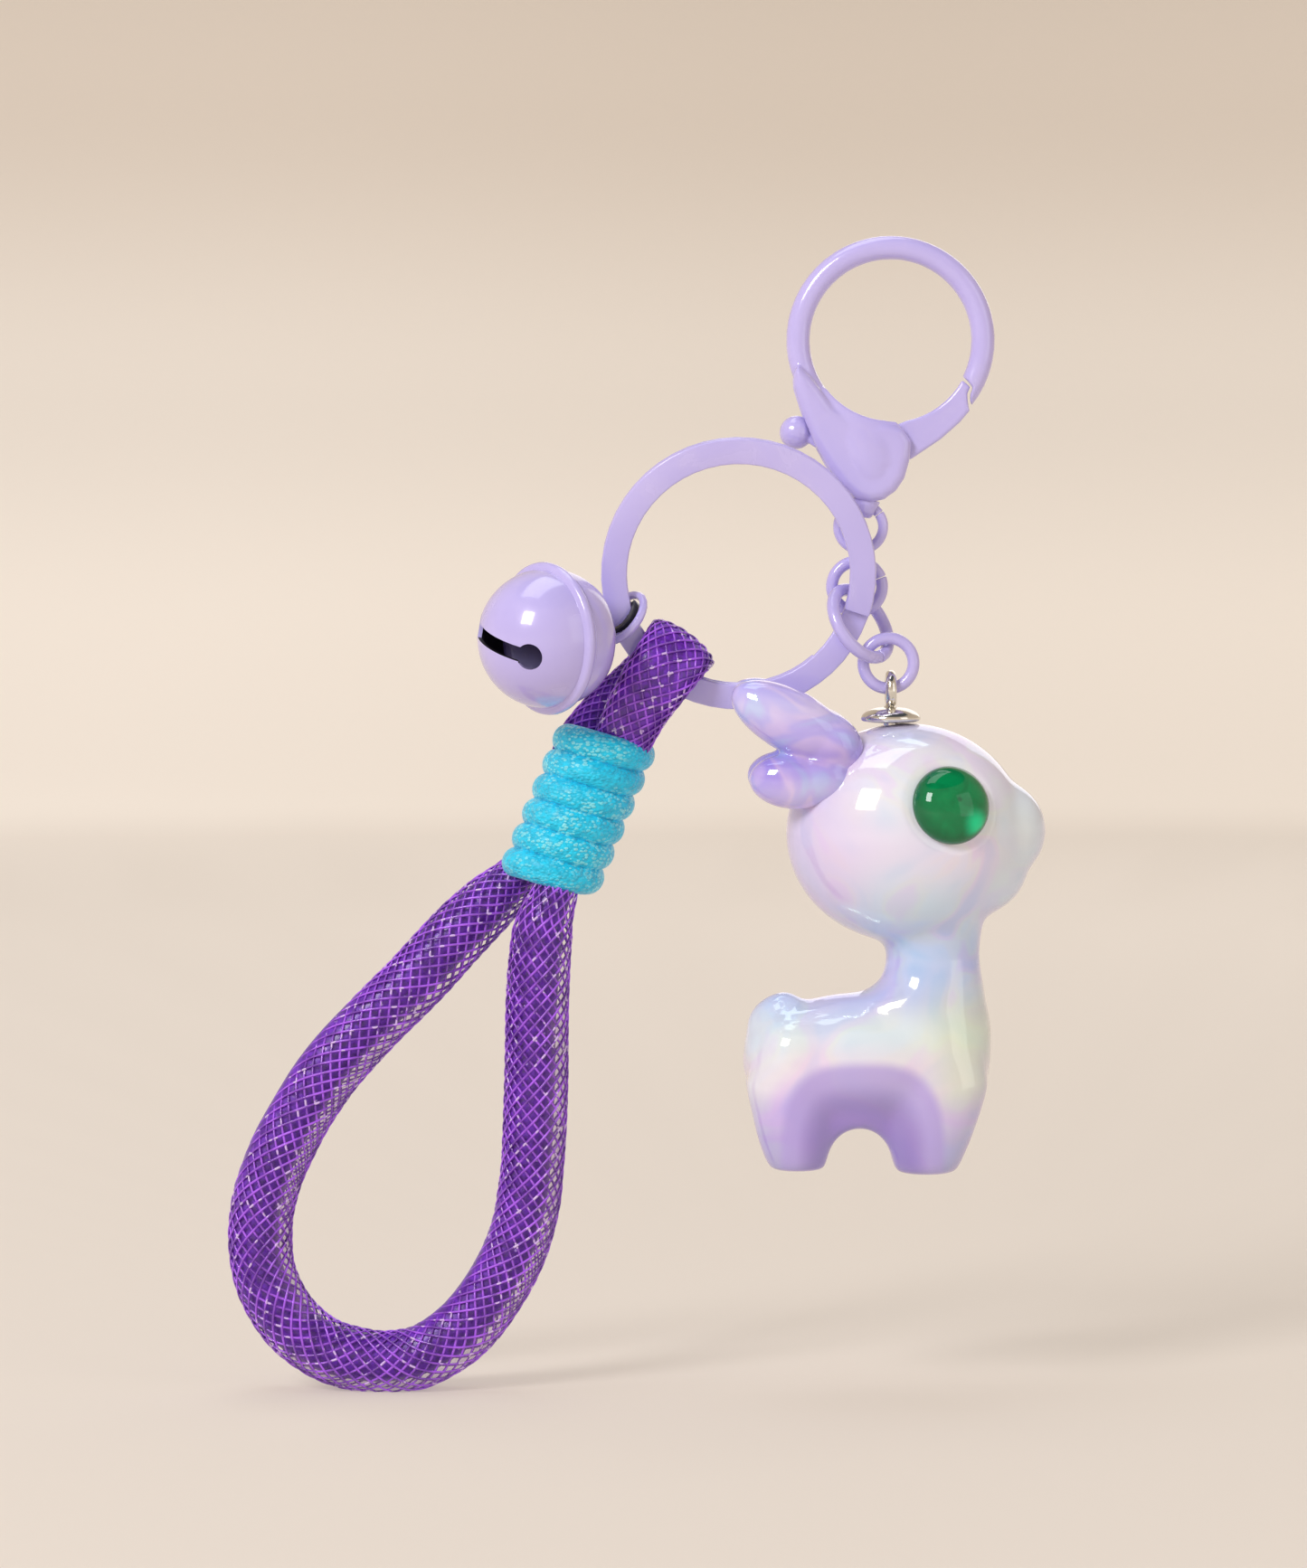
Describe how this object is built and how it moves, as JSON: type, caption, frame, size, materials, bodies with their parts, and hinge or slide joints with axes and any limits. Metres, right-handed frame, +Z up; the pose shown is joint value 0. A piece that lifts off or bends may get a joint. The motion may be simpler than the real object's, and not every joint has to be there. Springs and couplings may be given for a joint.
{
  "type": "keychain",
  "caption": "Keychain: swivel lobster clasp, short chain, split ring with a jingle bell and rope wrist strap, and a pearl fawn charm on a screw eye.",
  "frame": {"origin": "the inner top of the clasp's ring, the point the keychain hangs from", "axes": "+X to the charm's right-hand side (the way the fawn faces), +Y away from the viewer, +Z up; the clasp's ring, the round links and the fawn's plane of symmetry lie in planes of constant Y"},
  "size_m": [0.0948, 0.0289, 0.1342],
  "materials": {
    "lilac_enamel": "gloss",
    "steel": "plain",
    "nickel": "polished",
    "pearl": "pearl gloss",
    "pearl_lilac": "pearl gloss",
    "green_glass": "polished, opaque backed",
    "rubber": "satin",
    "rope": "braided, under a glossy net sleeve",
    "waxed_cord": "waxed"
  },
  "bodies": {
    "clasp": {"clasp_body": "lilac_enamel", "gate_pin": "steel", "gate_spring": "steel"},
    "gate": {"gate_lever": "lilac_enamel"},
    "swivel": {"swivel_stud": "lilac_enamel", "swivel_ring": "lilac_enamel"},
    "link_upper": {"chain_link_upper": "lilac_enamel"},
    "link_lower": {"chain_link_lower": "lilac_enamel"},
    "jump": {"jump_ring": "lilac_enamel"},
    "split": {"split_ring": "lilac_enamel"},
    "bell": {"bell_front_shell": "lilac_enamel", "bell_rear_shell": "lilac_enamel", "bell_eye": "lilac_enamel", "bell_bead": "rubber"},
    "pellet": {"bell_pellet": "steel"},
    "strap": {"strap_fold": "rope", "cord_binding": "waxed_cord", "end_ferrule": "steel", "rope_ends": "rope", "strap_loop": "rope"},
    "charm_link": {"charm_ring": "lilac_enamel"},
    "charm": {"screw_eye": "nickel", "screw_cap": "nickel", "charm_body": "pearl", "ear_right": "pearl_lilac", "ear_left": "pearl_lilac", "eye_right": "green_glass", "eye_left": "green_glass"}
  },
  "joints": [
    {"name": "gate_hinge", "type": "hinge", "parent": "clasp", "child": "gate", "pos_m": [-0.00218, 0, -0.02181], "axis": [0, -1, 0], "range_deg": [0, 24], "stiffness_Nm_per_rad": 0.0015, "springref_deg": -11.46},
    {"name": "swivel_turn", "type": "hinge", "parent": "clasp", "child": "swivel", "pos_m": [-0.00282, 0, -0.02708], "axis": [0.1564, 0, 0.9877], "continuous": true},
    {"name": "upper_link_swing", "type": "hinge", "parent": "swivel", "child": "link_upper", "pos_m": [-0.00372, -0.0002, -0.0331], "axis": [1, 0, 0], "range_deg": [-4, 20]},
    {"name": "lower_link_swing", "type": "hinge", "parent": "link_upper", "child": "link_lower", "pos_m": [-0.00383, -0.0002, -0.0361], "axis": [0, 1, 0], "range_deg": [-3, 6]},
    {"name": "jump_ring_swing", "type": "hinge", "parent": "link_lower", "child": "jump", "pos_m": [-0.00383, -0.0002, -0.04], "axis": [1, 0, 0], "range_deg": [-2, 12]},
    {"name": "split_ring_swing", "type": "hinge", "parent": "jump", "child": "split", "pos_m": [-0.0042, -0.0029, -0.0406], "axis": [0, 1, 0], "range_deg": [-2, 35]},
    {"name": "bell_swing", "type": "hinge", "parent": "split", "child": "bell", "pos_m": [-0.03095, -0.0026, -0.04135], "axis": [0.3419, 0, -0.9397], "range_deg": [0, 30]},
    {"name": "pellet_bounce", "type": "slide", "parent": "bell", "child": "pellet", "axis": [0, 0, 1], "range_m": [0, 0.004]},
    {"name": "strap_swing", "type": "hinge", "parent": "split", "child": "strap", "pos_m": [-0.0249, -0.0016, -0.0456], "axis": [0.8089, 0, -0.5879], "range_deg": [-8, 7]},
    {"name": "charm_ring_swing", "type": "hinge", "parent": "jump", "child": "charm_link", "pos_m": [-0.0008, -0.0022, -0.0447], "axis": [0, 1, 0], "range_deg": [-8, 8]},
    {"name": "charm_swing", "type": "hinge", "parent": "charm_link", "child": "charm", "pos_m": [0, -0.0022, -0.049], "axis": [1, 0, 0], "range_deg": [-20, 20]}
  ]
}
